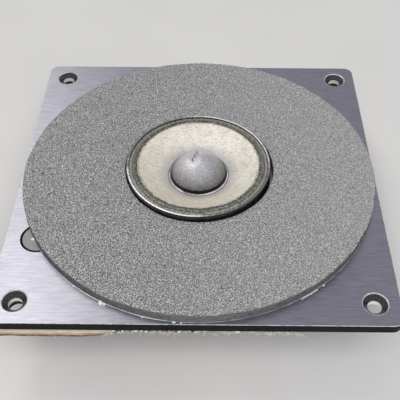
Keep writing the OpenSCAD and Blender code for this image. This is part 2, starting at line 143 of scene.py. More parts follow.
class Look:
    """One material: a Principled shader, and short calls for the nodes that drive it."""

    def __init__(self, name, **settings):
        self.material = bpy.data.materials.new(name)
        self.material.use_nodes = True
        tree = self.material.node_tree
        self.nodes, self.links = tree.nodes, tree.links
        self.shader = tree.nodes["Principled BSDF"]
        self.place = self.nodes.new("ShaderNodeTexCoord").outputs["Object"]
        self.normal = None
        for socket, value in settings.items():
            self.shader.inputs[socket.replace("_", " ")].default_value = value

    def put(self, socket, value):
        if isinstance(value, bpy.types.NodeSocket):
            self.links.new(value, socket)
        elif isinstance(value, tuple) and len(value) == 3 and socket.type == "RGBA":
            socket.default_value = (*value, 1)
        else:
            socket.default_value = value

    def drive(self, socket, value):
        """Links a value that varies over the surface to one of the shader's sockets."""
        self.put(self.shader.inputs[socket], value)

    def colour(self, value):
        self.drive("Base Color", value)

    def rough(self, value, start, end, low=0.3, high=0.7):
        """Roughness from start to end, as the value goes from low to high."""
        self.drive("Roughness", self.span(value, low, high, start, end))

    def brush_along_x(self):
        """Stretches the highlights across brush marks that run along X."""
        across = self.nodes.new("ShaderNodeCombineXYZ")
        across.inputs[1].default_value = 1
        self.drive("Tangent", across.outputs[0])

    def calc(self, operation, a, b=0.0, c=0.0):
        node = self.nodes.new("ShaderNodeMath")
        node.operation = operation
        for socket, value in zip(node.inputs, (a, b, c)):
            self.put(socket, value)
        return node.outputs[0]

    def scaled(self, size, stretch):
        """Coordinates in which one unit is size millimetres, longer by stretch along each axis."""
        node = self.nodes.new("ShaderNodeVectorMath")
        node.operation = "MULTIPLY"
        self.put(node.inputs[0], self.place)
        node.inputs[1].default_value = [1 / (size * MM * s) for s in stretch]
        return node.outputs[0]

    def noise(self, size, stretch=(1, 1, 1), detail=3, rough=0.55):
        node = self.nodes.new("ShaderNodeTexNoise")
        self.put(node.inputs["Vector"], self.scaled(size, stretch))
        node.inputs["Scale"].default_value = 1
        node.inputs["Detail"].default_value = detail
        node.inputs["Roughness"].default_value = rough
        return node.outputs["Fac"]

    def cells(self, size):
        node = self.nodes.new("ShaderNodeTexVoronoi")
        self.put(node.inputs["Vector"], self.scaled(size, (1, 1, 1)))
        node.inputs["Scale"].default_value = 1
        return node.outputs["Distance"]

    def along(self, axis):
        """Place along one axis of the frame, in millimetres."""
        node = self.nodes.new("ShaderNodeSeparateXYZ")
        self.put(node.inputs[0], self.place)
        return self.calc("DIVIDE", node.outputs[axis], MM)

    def radius(self):
        """Distance from the drive axis, in millimetres."""
        x, y = self.along("X"), self.along("Y")
        square = self.calc("ADD", self.calc("MULTIPLY", x, x), self.calc("MULTIPLY", y, y))
        return self.calc("SQRT", square)

    def stripes(self, value, pitch):
        """Even waves from 0 to 1, one every pitch of value."""
        wave = self.calc("SINE", self.calc("MULTIPLY", value, TURN / pitch))
        return self.calc("MULTIPLY_ADD", wave, 0.5, 0.5)

    def weave(self, pitch):
        """Plain weave: threads along X pass over and under threads along Y."""
        x, y = self.along("X"), self.along("Y")
        across = self.calc("MULTIPLY", self.stripes(x, pitch), self.stripes(y, pitch * 2))
        down = self.calc("MULTIPLY", self.stripes(y, pitch), self.stripes(x, pitch * 2))
        return self.calc("MAXIMUM", across, down)

    def ramp(self, factor, *stops):
        """Colours, each with the factor at which it is reached."""
        node = self.nodes.new("ShaderNodeValToRGB")
        band = node.color_ramp
        while len(band.elements) < len(stops):
            band.elements.new(1)
        for element, (at, colour) in zip(band.elements, stops):
            element.position = at
            element.color = (*colour, 1)
        self.put(node.inputs[0], factor)
        return node.outputs[0]

    def span(self, value, low, high, start=0.0, end=1.0):
        """Value between low and high, spread over start to end and held outside them."""
        node = self.nodes.new("ShaderNodeMapRange")
        for socket, number in zip(node.inputs, (value, low, high, start, end)):
            self.put(socket, number)
        return node.outputs[0]

    def strayed(self, value, by, texture):
        """Value, moved by as much as half of by up and down as the texture varies."""
        return self.calc("ADD", value, self.calc("MULTIPLY_ADD", texture, by, -by / 2))

    def mix(self, factor, a, b):
        node = self.nodes.new("ShaderNodeMix")
        node.data_type = "RGBA"
        for socket, value in zip((node.inputs[0], node.inputs[6], node.inputs[7]), (factor, a, b)):
            self.put(socket, value)
        return node.outputs[2]

    def over(self, tone, colour, *span):
        """Tone with a colour laid over it, by a value and its span."""
        return self.mix(self.span(*span), tone, colour)

    def bump(self, height, depth):
        """Relief of depth millimetres, on top of the relief added before."""
        node = self.nodes.new("ShaderNodeBump")
        node.inputs["Distance"].default_value = depth * MM
        self.put(node.inputs["Height"], height)
        if self.normal:
            self.put(node.inputs["Normal"], self.normal)
        self.normal = node.outputs[0]
        self.drive("Normal", self.normal)

    def grained(self, grain, low, high, depth, *rough):
        """One grain for all: colours from the low stop to the high, relief, and roughness if it is given."""
        self.colour(self.ramp(grain, low, high))
        if rough:
            self.rough(grain, *rough)
        self.bump(grain, depth)


def finish(**settings):
    """Turns a function that paints a look into one that makes the material of that name."""
    def wrap(paint):
        def make():
            look = Look(paint.__name__, **settings)
            paint(look)
            return look.material
        return make
    return wrap


@finish(Metallic=1.0, Anisotropic=0.75)
def brushed_anodising(look):
    look.brush_along_x()
    streaks = look.noise(0.2, (18, 1, 1), detail=5, rough=0.7)
    long_streaks = look.noise(0.5, (10, 1, 1), detail=3)
    patches = look.noise(22)
    tone = look.over((0.445, 0.436, 0.532), (0.57, 0.56, 0.665), long_streaks, 0.35, 0.65)
    tone = look.over(tone, (0.2, 0.2, 0.225), streaks, 0.3, 0.72, 0.22, 0)
    look.colour(look.over(tone, (0.3, 0.3, 0.33), patches, 0.3, 0.7, 0, 0.12))
    look.rough(streaks, 0.42, 0.3, 0.25, 0.75)
    look.bump(streaks, 0.004)


@finish(Specular_IOR_Level=0.12)
def anodised_edge(look):
    grain = look.noise(0.3, (8, 8, 1))
    look.grained(grain, (0.35, (0.002, 0.002, 0.0023)), (0.75, (0.008, 0.008, 0.0095)), 0.01, 0.38, 0.55)


@finish(Metallic=0.6)
def worn_edge(look):
    """Thin bright line on the plate's edges and countersink rims: bare metal where the brushing has rubbed
    them, painted white as a highlight as well.
    """
    wear = look.noise(1.6)
    look.grained(wear, (0.35, (0.5, 0.5, 0.53)), (0.55, (1.0, 1.0, 1.0)), 0.004, 0.45, 0.28)


@finish(Metallic=0.1, Coat_Weight=0.4, Coat_Roughness=0.15)
def bare_metal(look):
    rings = look.noise(0.35, (1, 1, 0.25))
    look.grained(rings, (0.3, (0.8, 0.8, 0.79)), (0.7, (1.0, 1.0, 1.0)), 0.008, 0.24, 0.42)


@finish(Metallic=0.9)
def countersink_metal(look):
    # Dark metal in the countersinks: painted shade for their hollow
    height = look.along("Z")
    chatter = look.noise(0.5, (1, 1, 0.2))
    look.colour(look.ramp(chatter, (0.3, (0.035, 0.035, 0.037)), (0.75, (0.2, 0.2, 0.21))))
    look.rough(chatter, 0.2, 0.38)
    look.bump(look.stripes(height, 0.16), 0.004)


@finish(Metallic=0.9, Anisotropic=0.6)
def badge_satin(look):
    look.brush_along_x()
    grain = look.noise(0.2, (14, 1, 1), detail=4)
    look.grained(grain, (0.3, (0.24, 0.24, 0.25)), (0.7, (0.4, 0.4, 0.42)), 0.004, 0.4, 0.55)


@finish(Sheen_Weight=0.25, Sheen_Roughness=0.6, Specular_IOR_Level=0.15, Roughness=1.0)
def open_cell_foam(look):
    pores = look.cells(0.34)
    fine = look.noise(0.22, detail=2, rough=0.75)
    struts = look.calc("ADD", look.calc("MULTIPLY", pores, 0.55), look.calc("MULTIPLY", fine, 0.6))
    tone = look.ramp(
        struts, (0.38, (0.012, 0.013, 0.014)), (0.56, (0.213, 0.216, 0.221)), (0.74, (0.63, 0.63, 0.64))
    )
    pits = look.noise(1.1, detail=1)
    tone = look.over(tone, (0.05, 0.05, 0.052), pits, 0.26, 0.34, 0.7, 0)
    patches = look.span(look.noise(9), 0.3, 0.7, 0.0, 0.12)
    tone = look.mix(patches, tone, (0.23, 0.23, 0.235))
    # Lighter towards +X: painted light for the brighter right side of the foam
    painted_light_right = look.span(look.along("X"), -20, 52, 0, 0.28)
    look.colour(look.mix(painted_light_right, tone, (0.45, 0.45, 0.46)))
    look.bump(struts, 0.16)


@finish(Specular_IOR_Level=0.1, Roughness=1.0)
def foam_cut(look):
    """Side of the foam where it was cut, with dragged cells; its darker colour is painted shade."""
    drag = look.noise(0.4, (2.5, 2.5, 1), detail=3, rough=0.7)
    look.colour(look.ramp(drag, (0.3, (0.09, 0.09, 0.093)), (0.72, (0.27, 0.27, 0.275))))
    look.bump(look.cells(0.5), 0.14)
    look.bump(drag, 0.15)


@finish(Coat_Weight=0.6, Coat_Roughness=0.15, Subsurface_Weight=0.15, Subsurface_Scale=0.0008)
def dried_adhesive(look):
    skin = look.noise(0.8)
    look.grained(skin, (0.3, (0.8, 0.8, 0.77)), (0.6, (1.0, 1.0, 1.0)), 0.05, 0.2, 0.45)


@finish(Coat_Weight=1.0, Coat_Roughness=0.1, IOR=1.5)
def bead_adhesive(look):
    skin = look.noise(1.4)
    pale = look.ramp(skin, (0.3, (0.5, 0.49, 0.46)), (0.5, (0.96, 0.95, 0.92)))
    # Near-black beside the cap: painted shade in the join between bead and cap
    painted_shade_by_cap = look.span(look.radius(), CAP_R + 0.2, CAP_R + 0.3, 0.95, 0)
    look.colour(look.mix(painted_shade_by_cap, pale, (0.02, 0.02, 0.022)))
    look.rough(skin, 0.12, 0.3)
    look.bump(look.noise(0.7), 0.035)


@finish(Specular_IOR_Level=0.2, Roughness=0.95)
def fibre_gasket(look):
    layers = look.noise(0.25, (14, 14, 1), detail=5, rough=0.7)
    blotches = look.noise(3.5)
    tone = look.ramp(layers, (0.28, (0.16, 0.095, 0.05)), (0.5, (0.5, 0.36, 0.235)), (0.74, (0.8, 0.7, 0.58)))
    tone = look.over(tone, (0.68, 0.56, 0.42), blotches, 0.35, 0.7, 0, 0.55)
    low, high = box_mm("mounting_gasket")
    layer = look.strayed(look.along("Z"), 1.6, look.noise(4, detail=3))
    tone = look.over(tone, (0.1, 0.055, 0.03), layer, low.z + 0.1, low.z + 0.8, 0.85, 0)
    tone = look.over(tone, (0.9, 0.82, 0.68), layer, high.z - 0.9, high.z - 0.4, 0, 0.6)
    torn = look.calc("MULTIPLY", look.span(look.along("X"), -24, -20), look.span(look.along("Y"), -52, -53))
    pale = look.ramp(look.noise(0.7), (0.42, (0.1, 0.08, 0.06)), (0.58, (0.9, 0.88, 0.84)))
    tone = look.mix(torn, tone, pale)
    # Near-black round each screw hole: painted shade on the gasket seen down the holes
    from_hole = [look.calc("SUBTRACT", look.calc("ABSOLUTE", look.along(axis)), HOLE_AT) for axis in "XY"]
    square = look.calc("ADD", *(look.calc("MULTIPLY", way, way) for way in from_hole))
    painted_shade_in_holes = look.span(look.calc("SQRT", square), HOLE_R + 0.7, HOLE_R + 1.1, 0.93, 0)
    look.colour(look.mix(painted_shade_in_holes, tone, (0.012, 0.01, 0.008)))
    look.bump(layers, 0.12)
    look.bump(look.noise(0.6), 0.1)


@finish(Specular_IOR_Level=0.2, Roughness=0.9, Sheen_Weight=0.3)
def torn_fibre(look):
    look.colour(look.ramp(look.noise(0.9), (0.3, (0.5, 0.42, 0.33)), (0.7, (0.86, 0.83, 0.77))))
    look.bump(look.noise(0.2), 0.05)


@finish(Coat_Weight=0.25, Coat_Roughness=0.3)
def black_paint(look):
    peel = look.noise(0.7, detail=2)
    dust = look.span(look.noise(5, detail=5), 0.55, 0.85, 0, 0.3)
    look.colour(look.mix(dust, (0.018, 0.018, 0.019), (0.1, 0.098, 0.093)))
    look.rough(peel, 0.32, 0.5)
    look.bump(peel, 0.03)


@finish(Coat_Weight=0.8, Coat_Roughness=0.12)
def gloss_black(look):
    smear = look.noise(2.4, detail=4)
    look.colour(look.ramp(smear, (0.4, (0.008, 0.008, 0.009)), (0.85, (0.035, 0.035, 0.036))))
    look.rough(smear, 0.18, 0.36)
    look.bump(look.noise(0.5), 0.012)


@finish(Coat_Weight=1.0, Coat_Roughness=0.2)
def rubbed_rim(look):
    """Top of the ring: a thin bright line where handling has polished the black away, made brighter along one
    diagonal, front-left and back-right, as a painted highlight.
    """
    # Brighter along one diagonal, front-left and back-right: painted highlight
    diagonal = look.calc("MULTIPLY_ADD", look.along("Y"), 0.8, look.calc("MULTIPLY", look.along("X"), 0.6))
    painted_highlight = look.span(look.calc("ABSOLUTE", diagonal), 10, 20, -0.28, 0.08)
    wear = look.calc("ADD", look.noise(1.3, detail=5, rough=0.75), painted_highlight)
    look.colour(look.ramp(wear, (0.3, (0.14, 0.14, 0.14)), (0.52, (0.95, 0.95, 0.96))))
    look.drive("Metallic", look.span(wear, 0.36, 0.54, 0.1, 0.3))
    look.rough(wear, 0.38, 0.24)
    look.bump(wear, 0.01)


@finish(Coat_Weight=0.5, Coat_Roughness=0.22, Sheen_Weight=0.1)
def doped_cloth(look):
    """Olive-grey cloth: a painted highlight along its edge by the cone, dark dope in the groove by the cone,
    a lined roll, a paler wet edge outside.
    """
    radius = look.radius()
    across = look.span(look.strayed(radius, 0.7, look.noise(3.2)), CONE_VISIBLE_R - 0.2, SURROUND_R)
    # The first two stops, pale by the cone's edge, are a painted highlight
    tone = look.ramp(
        across,
        (0.0, (0.86, 0.84, 0.76)), (0.1, (0.8, 0.78, 0.7)), (0.17, (0.035, 0.03, 0.02)),
        (0.36, (0.1, 0.095, 0.07)), (0.5, (0.3, 0.295, 0.24)), (0.56, (0.05, 0.048, 0.036)),
        (0.66, (0.56, 0.56, 0.51)), (1.0, (0.62, 0.62, 0.58)),
    )
    flecks = look.noise(0.42, (1.6, 1, 1), detail=3, rough=0.8)
    tone = look.over(tone, (0.02, 0.019, 0.013), flecks, 0.38, 0.5, 0.85, 0)
    tone = look.over(tone, (0.8, 0.79, 0.72), flecks, 0.54, 0.66, 0, 0.75)
    threads = look.weave(0.42)
    lines = look.stripes(radius, 0.3)
    tone = look.over(tone, (0.03, 0.03, 0.022), threads, 0.2, 0.9, 0.35, 0)
    look.colour(look.over(tone, (0.05, 0.05, 0.035), lines, 0, 1, 0, 0.25))
    look.rough(look.noise(1.1), 0.25, 0.55)
    look.bump(threads, 0.05)
    look.bump(lines, 0.03)


@finish(Specular_IOR_Level=0.3, Roughness=0.8, Sheen_Weight=0.08)
def cone_paper(look):
    """Ivory pulp with brown mottling, greyer round the cap, stained and painted darker towards the front and
    left as shade, with a painted shadow line under the cloth's edge on the near side.
    """
    fibres = look.noise(0.3, (3, 1.2, 1), detail=4, rough=0.65)
    mottle = look.noise(5.5, detail=4)
    tone = look.over((0.92, 0.895, 0.84), (0.69, 0.62, 0.5), mottle, 0.42, 0.72, 0, 0.65)
    # Darker and browner towards the front and left: a stain, with painted shade for the less lit side
    slant = look.calc("MULTIPLY_ADD", look.along("X"), 0.65, look.along("Y"))
    stain_and_shade = look.strayed(slant, 22, look.noise(7, detail=2))
    tone = look.over(tone, (0.62, 0.57, 0.45), stain_and_shade, -15, 15, 0.8, 0)
    tone = look.over(tone, (0.95, 0.94, 0.9), fibres, 0.45, 0.7, 0, 0.45)
    pulp = look.noise(1.2, (1.8, 1, 1), detail=4, rough=0.7)
    tone = look.over(tone, (0.56, 0.49, 0.38), pulp, 0.36, 0.5, 0.5, 0)
    specks = look.noise(0.42, detail=2, rough=0.8)
    tone = look.over(tone, (0.33, 0.28, 0.21), specks, 0.32, 0.47, 0.8, 0)
    radius = look.radius()
    halo = look.strayed(radius, 3.2, look.noise(4, detail=3))
    tone = look.over(tone, (0.4, 0.39, 0.43), halo, 9.2, 12.6, 0.85, 0)
    # Dark line at the cone's edge, strongest on the near side: painted shadow under the cloth's edge
    fray = look.strayed(radius, 1.6, look.noise(0.8, detail=3))
    near_side_shadow = look.calc("MULTIPLY", look.span(look.along("Y"), 6, -8), 0.85)
    rim = look.span(fray, CONE_VISIBLE_R - 0.35, CONE_VISIBLE_R - 0.1)
    tone = look.mix(look.calc("MULTIPLY", rim, near_side_shadow), tone, (0.1, 0.095, 0.07))
    gap = look.calc("ABSOLUTE", look.calc("SUBTRACT", radius, CAP_R + 0.55))
    tone = look.over(tone, (0.05, 0.05, 0.055), gap, 0.05, 0.4, 0.7, 0)
    look.colour(tone)
    look.bump(fibres, 0.06)
    look.bump(look.noise(1.3), 0.05)


@finish(Metallic=0.8, Coat_Weight=0.3, Coat_Roughness=0.3)
def cap_paper(look):
    fibres = look.noise(0.42, detail=4, rough=0.75)
    cloud = look.noise(3)
    tone = look.ramp(fibres, (0.32, (0.5, 0.492, 0.525)), (0.6, (0.97, 0.96, 1.0)))
    tone = look.over(tone, (0.5, 0.49, 0.53), cloud, 0.35, 0.7, 0, 0.35)
    height = look.along("Z")
    # Darker towards the foot of the dome: painted shade
    painted_shade_low = look.strayed(height, 4, look.noise(0.8, detail=3, rough=0.7))
    tone = look.over(tone, (0.05, 0.048, 0.058), painted_shade_low, NECK_Z + 0.6, NECK_Z + 4.8, 0.92, 0)
    # Darker towards +X: painted shade on the dome's right side
    tone = look.over(tone, (0.1, 0.098, 0.11), look.along("X"), 2, 8.5, 0, 0.55)
    # Near-black band at the dome's foot: painted shade in the join with the bead
    foot = look.span(height, NECK_Z + 1.0, NECK_Z + 1.45, 0.98, 0)
    look.colour(look.mix(foot, tone, (0.006, 0.006, 0.007)))
    look.rough(fibres, 0.42, 0.52)
    look.bump(fibres, 0.06)
    look.bump(look.noise(1.1), 0.05)


@finish(Metallic=0.3, Coat_Weight=0.2, Coat_Roughness=0.4)
def creased_paper(look):
    # Darker paper along the crease: painted shade in it
    grain = look.noise(0.4, detail=3)
    look.grained(grain, (0.35, (0.09, 0.088, 0.1)), (0.65, (0.26, 0.256, 0.28)), 0.03, 0.5, 0.65)


@finish(Specular_IOR_Level=0.3, Roughness=0.75)
def treated_cotton(look):
    threads = look.weave(0.34)
    tone = look.ramp(threads, (0.1, (0.2, 0.11, 0.03)), (0.8, (0.6, 0.4, 0.16)))
    look.colour(look.over(tone, (0.42, 0.24, 0.08), look.noise(4), 0.3, 0.7, 0, 0.35))
    look.bump(threads, 0.07)


@finish(Roughness=0.85)
def kraft_paper(look):
    fibres = look.noise(0.3, (2, 2, 1), detail=4)
    look.grained(fibres, (0.3, (0.38, 0.25, 0.12)), (0.7, (0.6, 0.45, 0.26)), 0.03)


@finish(Metallic=1.0, Coat_Weight=0.5, Coat_Roughness=0.15)
def enamelled_copper(look):
    patina = look.noise(0.8)
    look.colour(look.ramp(patina, (0.3, (0.5, 0.19, 0.07)), (0.7, (0.74, 0.34, 0.15))))
    look.rough(patina, 0.22, 0.34)
    look.bump(look.stripes(look.along("Z"), 0.18), 0.03)


@finish(Coat_Weight=0.7, Coat_Roughness=0.15)
def dark_cement(look):
    lumps = look.noise(0.6)
    look.grained(lumps, (0.3, (0.03, 0.022, 0.018)), (0.75, (0.09, 0.065, 0.045)), 0.12, 0.25, 0.5)


@finish(Metallic=1.0)
def turned_steel(look):
    """Zinc-plated steel with the rings that turning leaves on its flat faces."""
    radius = look.radius()
    rings = look.stripes(radius, 0.32)
    blush = look.noise(6, detail=4)
    tone = look.ramp(blush, (0.3, (0.45, 0.45, 0.44)), (0.55, (0.6, 0.6, 0.58)), (0.78, (0.52, 0.49, 0.42)))
    look.colour(look.over(tone, (0.3, 0.3, 0.3), rings, 0, 1, 0, 0.14))
    look.rough(look.noise(0.5, (6, 6, 1)), 0.28, 0.46)
    look.bump(rings, 0.006)
    look.bump(look.noise(0.3), 0.006)


@finish(Specular_IOR_Level=0.5)
def ground_ferrite(look):
    grains = look.noise(0.35, detail=4, rough=0.7)
    scratches = look.noise(0.3, (40, 1, 2), detail=3)
    tone = look.ramp(grains, (0.3, (0.022, 0.022, 0.025)), (0.75, (0.085, 0.085, 0.092)))
    look.colour(look.over(tone, (0.14, 0.14, 0.15), scratches, 0.6, 0.8, 0, 0.35))
    look.rough(grains, 0.45, 0.7)
    look.bump(grains, 0.03)
    look.bump(look.cells(2.2), 0.04)


@finish(Roughness=1.0, Sheen_Weight=0.5)
def grey_felt(look):
    wool = look.noise(0.4, (3, 1, 1), detail=5, rough=0.75)
    look.grained(wool, (0.3, (0.05, 0.05, 0.053)), (0.7, (0.19, 0.19, 0.195)), 0.2)


@finish(Coat_Weight=0.2, Coat_Roughness=0.35)
def phenolic_board(look):
    fibres = look.noise(0.4, (8, 1, 1), detail=4)
    look.grained(fibres, (0.3, (0.11, 0.04, 0.014)), (0.7, (0.27, 0.12, 0.045)), 0.015, 0.35, 0.55)


@finish(Metallic=1.0)
def tinned_brass(look):
    drawn = look.noise(0.25, (1, 25, 1), detail=4)
    wear = look.noise(2.4)
    tone = look.over((0.72, 0.69, 0.6), (0.7, 0.52, 0.25), wear, 0.5, 0.75)
    look.colour(look.over(tone, (0.4, 0.36, 0.28), drawn, 0.3, 0.7, 0.25, 0))
    look.rough(drawn, 0.24, 0.42)
    look.bump(drawn, 0.008)


@finish(Metallic=1.0)
def passivated_zinc(look):
    tint = look.noise(1.6, detail=3)
    look.colour(look.ramp(tint, (0.3, (0.62, 0.6, 0.5)), (0.55, (0.72, 0.62, 0.36)), (0.8, (0.6, 0.5, 0.42))))
    look.rough(tint, 0.24, 0.4)
    look.bump(look.noise(0.3), 0.01)


@finish(Metallic=1.0)
def bright_solder(look):
    frost = look.noise(0.5, detail=4)
    look.grained(frost, (0.3, (0.5, 0.5, 0.52)), (0.7, (0.82, 0.82, 0.84)), 0.05, 0.12, 0.34)


@finish(Coat_Weight=0.6, Coat_Roughness=0.2)
def varnished_cotton(look):
    threads = look.stripes(look.along("Z"), 0.22)
    look.colour(look.ramp(threads, (0.2, (0.24, 0.15, 0.035)), (0.8, (0.52, 0.37, 0.11))))
    look.rough(look.noise(0.5), 0.3, 0.5)
    look.bump(threads, 0.03)


@finish(Metallic=0.9)
def tinsel_braid(look):
    spun = look.noise(0.2, (1, 2.5, 1), detail=3, rough=0.7)
    look.grained(spun, (0.3, (0.3, 0.13, 0.07)), (0.7, (0.78, 0.45, 0.28)), 0.06, 0.25, 0.5)


@finish(Roughness=0.9, Specular_IOR_Level=0.2)
def pale_floor(look):
    look.colour(look.ramp(look.noise(60), (0.3, (0.74, 0.74, 0.735)), (0.7, (0.78, 0.78, 0.775))))


# ---------------------------------------------------------------- mesh helpers, in mm

def closed_mesh(name, points, faces):
    """Mesh from points in mm, with doubled points joined and its faces turned outwards."""
    mesh = bpy.data.meshes.new(name)
    mesh.from_pydata([tuple(c * MM for c in p) for p in points], [], faces)
    edit = bmesh.new()
    edit.from_mesh(mesh)
    bmesh.ops.remove_doubles(edit, verts=edit.verts, dist=1e-7)
    bmesh.ops.recalc_face_normals(edit, faces=edit.faces)
    edit.to_mesh(mesh)
    edit.free()
    return mesh


def add_object(name, data):
    made = bpy.data.objects.new(name, data)
    bpy.context.scene.collection.objects.link(made)
    return made


def piece(name, points, faces, materials, slot, body="chassis", stands_for=(), sharp=35, rides=True):
    """New piece from points in mm, on which edges over sharp degrees stay crisp."""
    return dress(name, closed_mesh(name, points, faces), materials, body, stands_for, sharp, rides)


def shade(mesh, sharp):
    """Smooth shading, with crisp edges over sharp degrees, and level or broad faces kept flat."""
    level = 0.99999
    broad = 40 * MM * MM
    mesh.shade_smooth()
    mesh.set_sharp_from_angle(angle=math.radians(sharp))
    for face in mesh.polygons:
        if abs(face.normal.z) > level or face.area > broad:
            face.use_smooth = False


def dress(name, mesh, materials, body, stands_for, sharp, rides=True):
    for material in materials:
        mesh.materials.append(material)
    shade(mesh, sharp)
    made = add_object(name, mesh)
    if stands_for:
        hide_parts(*stands_for)
    if rides:
        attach(made, body)
    return made


def around(radius, angle):
    return radius * math.cos(angle), radius * math.sin(angle)


def wrapped(rings, rows, closed=True):
    """Faces round a tube of rings with the same rows of points; closed joins the last ring to the first."""
    faces = []
    for i in range(rings if closed else rings - 1):
        here, there = i * rows, (i + 1) % rings * rows
        for j in range(rows):
            k = (j + 1) % rows
            faces.append((here + j, there + j, there + k, here + k))
    return faces


def walls(first, rings, sides):
    """Faces that join each ring of points to the next, where first is the number of the first point."""
    faces = []
    for ring in range(rings - 1):
        for k in range(sides):
            a, b = first + ring * sides + k, first + ring * sides + (k + 1) % sides
            faces.append((a, b, b + sides, a + sides))
    return faces


def lathe(outline, turns, shape=None):
    """Points and faces of a closed outline of (radius, height) turned round the drive axis.
    shape(angle, radius, height) may move each point for wear and unevenness."""
    points = []
    for i in range(turns):
        angle = TURN * i / turns
        for radius, height in outline:
            if shape:
                radius, height = shape(angle, radius, height)
            points.append((*around(radius, angle), height))
    return points, wrapped(turns, len(outline))


def rounded(outline, radius, steps):
    """Closed outline with each corner replaced by a short arc."""
    result = []
    for i, corner in enumerate(outline):
        corner = Vector(corner)
        before, after = Vector(outline[i - 1]) - corner, Vector(outline[(i + 1) % len(outline)]) - corner
        reach = min(radius, before.length * 0.45, after.length * 0.45)
        start, end = corner + before.normalized() * reach, corner + after.normalized() * reach
        for k in range(steps + 1):
            t = k / steps
            result.append(tuple(start.lerp(corner, t).lerp(corner.lerp(end, t), t)))
    return result


def sheet_outline(underside, thick):
    """Outline of a thin sheet from the points of its underside."""
    return list(underside) + [(r, z + thick) for r, z in reversed(underside)]


def wobble(angle, radius, height, size, depth):
    """Smooth unevenness of up to about depth mm, in lumps of about size mm."""
    return noise.noise(Vector((*around(radius, angle), height)) / size) * depth


def cad_copy(node):
    """Copy of a CAD node's mesh without materials, and that mesh open for editing, its seams joined."""
    mesh = frame["nodes"][node].data.copy()
    mesh.materials.clear()
    edit = bmesh.new()
    edit.from_mesh(mesh)
    bmesh.ops.remove_doubles(edit, verts=edit.verts, dist=2e-7)
    return mesh, edit


def copied(name, node, width, material, body="chassis"):
    """Copy of a CAD node's mesh with its sharp edges rounded to width mm, in place of the node."""
    sharp = 32
    mesh, edit = cad_copy(node)
    bmesh.ops.dissolve_limit(
        edit, angle_limit=math.radians(0.6), verts=edit.verts, edges=edit.edges, use_dissolve_boundaries=False
    )
    crisp = [e for e in edit.edges if e.is_manifold and e.calc_face_angle(0) > math.radians(sharp)]
    bmesh.ops.bevel(
        edit, geom=crisp, offset=width * MM, segments=2, profile=0.6, affect="EDGES", clamp_overlap=True
    )
    bmesh.ops.recalc_face_normals(edit, faces=edit.faces)
    edit.to_mesh(mesh)
    edit.free()
    dress(name, mesh, [material], body, (node,), sharp + 8)


def cut(target, wall, turns, x=0, y=0, ragged=False):
    """Cuts a round hole at x, y out of a piece, which may be ragged enough to cross itself.
    The hole's wall is given as (radius, height), from its foot to its head."""
    outline = [(0, wall[0][1]), *wall, (0, wall[-1][1])]
    cutter = add_object("cutter", closed_mesh("cutter", *shifted(lathe(outline, turns), x, y)))
    modifier = target.modifiers.new("cut", "BOOLEAN")
    modifier.operation = "DIFFERENCE"
    modifier.solver = "EXACT"
    modifier.use_self = ragged
    modifier.object = cutter
    bpy.context.view_layer.update()
    result = bpy.data.meshes.new_from_object(target.evaluated_get(bpy.context.evaluated_depsgraph_get()))
    target.modifiers.clear()
    target.data = result
    bpy.data.objects.remove(cutter)


def shifted(shape, x, y):
    points, faces = shape
    return [(p[0] + x, p[1] + y, p[2]) for p in points], faces


# ---------------------------------------------------------------- camera, light and floor

def aimed(at, aim):
    """Place and heading of a camera or light that stands at one point and faces another."""
    return Matrix.Translation(at) @ (aim - at).to_track_quat("-Z", "Y").to_matrix().to_4x4()


def make_camera():
    """Camera in front of the plate and above it, 0.2 m away."""
    at = Vector((4.5, -147.03, 175.73)) * MM
    aim = Vector((4.22, -10.96, 27)) * MM
    roll = math.radians(0.395)
    data = bpy.data.cameras.new("camera")
    data.lens = 61.14
    data.shift_x = -0.03
    data.clip_start = 0.005
    camera = add_object("camera", data)
    camera.matrix_world = aimed(at, aim) @ Matrix.Rotation(roll, 4, "Z")
    bpy.context.scene.camera = camera


def soft_light(name, at, size, power, colour):
    """Rectangular light that faces the middle of the plate's front."""
    data = bpy.data.lights.new(name, "AREA")
    data.shape = "RECTANGLE"
    data.size, data.size_y = size
    data.energy = power
    data.color = colour
    light = add_object(name, data)
    light.matrix_world = aimed(Vector(at), Vector((0, 0, 0.027)))
    return light


def make_studio():
    world = bpy.data.worlds.new("studio")
    world.use_nodes = True
    sky = world.node_tree.nodes["Background"].inputs
    sky["Color"].default_value = (0.965, 0.96, 1, 1)
    sky["Strength"].default_value = 0.412
    bpy.context.scene.world = world
    bpy.context.scene.view_settings.view_transform = "Standard"
    soft_light("window", (-0.41, 0.66, 0.86), (0.44, 0.8), 1.1, (1, 0.99, 0.86))
    fill = soft_light("fill", (0.06, -0.43, 0.68), (0.6, 0.45), 3.5, (1, 0.985, 0.965))
    fill.visible_glossy = False
    soft_light("ceiling", (-0.3, 0.24, 0.83), (0.24, 0.24), 0.78, (1, 0.99, 0.92))
    half = 3.0
    mesh = bpy.data.meshes.new("floor")
    corners = [(-half, -half), (half, -half), (half, half), (-half, half)]
    mesh.from_pydata([(x, y, cad_low.z) for x, y in corners], [], [(0, 1, 2, 3)])
    mesh.materials.append(pale_floor())
    floor = add_object("floor", mesh)


# ---------------------------------------------------------------- faceplate and badge

def plate_loop(inset, height, arc_steps=10):
    """Loop round the plate's outline, drawn in by inset."""
    reach = PLATE_HALF - PLATE_CORNER_R
    loop = []
    for quarter, (sx, sy) in enumerate([(1, 1), (-1, 1), (-1, -1), (1, -1)]):
        for k in range(arc_steps + 1):
            x, y = around(PLATE_CORNER_R - inset, TURN / 4 * (quarter + k / arc_steps))
            loop.append((sx * reach + x, sy * reach + y, height))
    return loop


def stacked(loops):
    """Closed solid from loops of the same number of points, bottom first."""
    count = len(loops[0])
    points = [p for loop in loops for p in loop]
    ends = [tuple(range(count))[::-1], tuple(range((len(loops) - 1) * count, len(loops) * count))]
    return points, ends + walls(0, len(loops), count)


